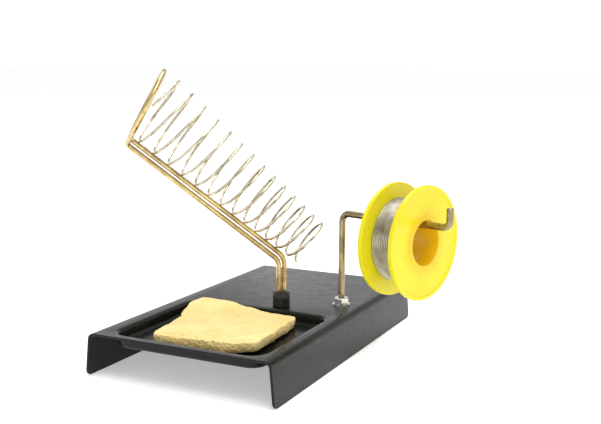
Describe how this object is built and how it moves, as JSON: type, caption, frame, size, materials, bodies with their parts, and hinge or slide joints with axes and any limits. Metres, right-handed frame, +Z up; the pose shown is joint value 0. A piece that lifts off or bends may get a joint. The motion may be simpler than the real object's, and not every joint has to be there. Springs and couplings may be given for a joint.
{
  "type": "soldering iron stand",
  "caption": "Soldering iron stand: folded steel base with a sponge well, a tapered wire coil on a bent frame for the iron, and a bent arm carrying a reel of solder.",
  "frame": {"origin": "middle of the stand's overall box, on the bench that it stands on", "axes": "+Z up, +Y from the sponge well to the rear of the base, +X towards the reel"},
  "size_m": [0.1602, 0.17, 0.1426],
  "materials": {
    "black_paint": "semi-gloss black enamel",
    "sponge": "open cellulose sponge",
    "zinc": "bright zinc plate",
    "black_collar": "black oxide",
    "gilt_wire": "bright brass plate on steel wire",
    "coil_wire": "bright pale brass plate on spring wire",
    "yellow_plastic": "glossy moulded yellow",
    "solder": "dull drawn solder wire, close wound"
  },
  "bodies": {
    "base": {"base_plate": "black_paint", "holder_flat_washer": "zinc", "holder_lock_washer": "zinc", "arm_top_washer": "zinc", "arm_bottom_washer": "zinc", "arm_lock_washer": "zinc"},
    "holder": {"holder_frame": "gilt_wire", "coil_spring": "coil_wire", "holder_ferrule": "black_collar", "holder_screw": "zinc"},
    "arm": {"reel_arm": "gilt_wire", "arm_top_nut": "zinc", "arm_bottom_nut": "zinc"},
    "reel": {"solder_reel": "yellow_plastic", "solder_winding": "solder"},
    "pad": {"sponge": "sponge"}
  },
  "joints": [
    {"name": "holder_swivel", "type": "hinge", "parent": "base", "child": "holder", "pos_m": [-0.01107, 0.001, 0.021], "axis": [0, 0, 1], "range_deg": [-25, 25]},
    {"name": "arm_swivel", "type": "hinge", "parent": "base", "child": "arm", "pos_m": [0.01593, 0.017, 0.021], "axis": [0, 0, 1], "range_deg": [-50, 90]},
    {"name": "reel_spin", "type": "hinge", "parent": "arm", "child": "reel", "pos_m": [0.0563, 0.00542, 0.06065], "axis": [0.9613, -0.2756, 0], "continuous": true},
    {"name": "sponge_lift", "type": "slide", "parent": "base", "child": "pad", "axis": [0, 0, 1], "range_m": [0, 0.009]}
  ]
}
